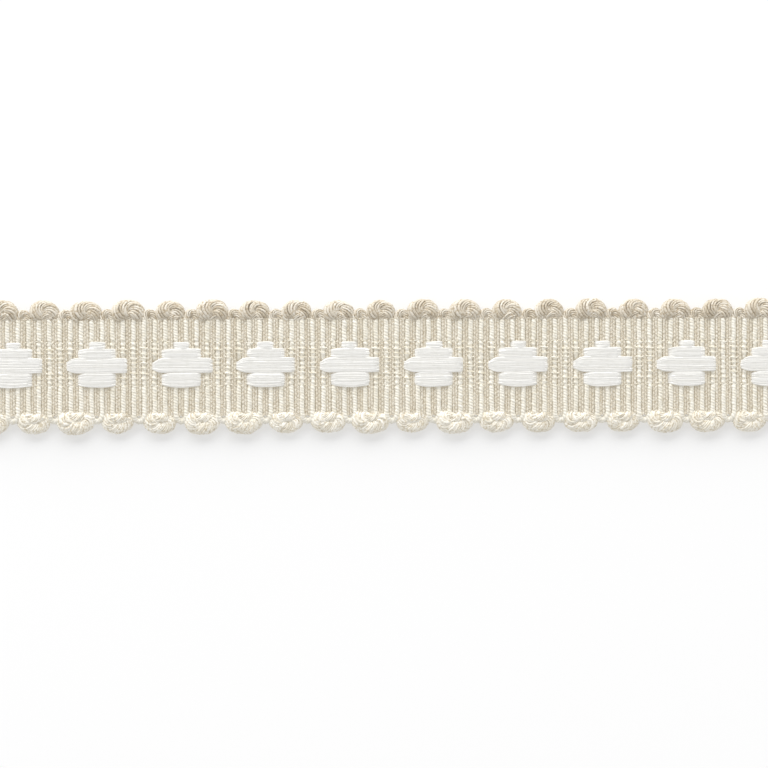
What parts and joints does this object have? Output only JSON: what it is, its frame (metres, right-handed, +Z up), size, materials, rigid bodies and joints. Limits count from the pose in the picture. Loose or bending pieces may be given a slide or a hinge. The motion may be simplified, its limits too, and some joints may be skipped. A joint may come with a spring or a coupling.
{
  "type": "woven braid trim with picot edges",
  "caption": "Flat woven braid trim with upright corded ribs, stepped lozenges of white floats down the middle and picot loops along both edges.",
  "frame": {"origin": "on the surface the braid lies on, under the middle of its length and width", "axes": "+X along the braid, +Y across it towards the edge with the tan loops, +Z up out of its face"},
  "size_m": [0.1605, 0.0254, 0.0026],
  "materials": {
    "beige_ground": "fine matt yarns with a slight sheen",
    "cream_cord": "glossy twisted viscose cord",
    "tan_loops": "glossy twisted viscose strands",
    "white_float": "untwisted satin floss"
  },
  "bodies": {
    "root": {"woven_ground": "beige_ground", "upper_picots": "tan_loops", "lower_picots": "cream_cord"}
  },
  "joints": []
}
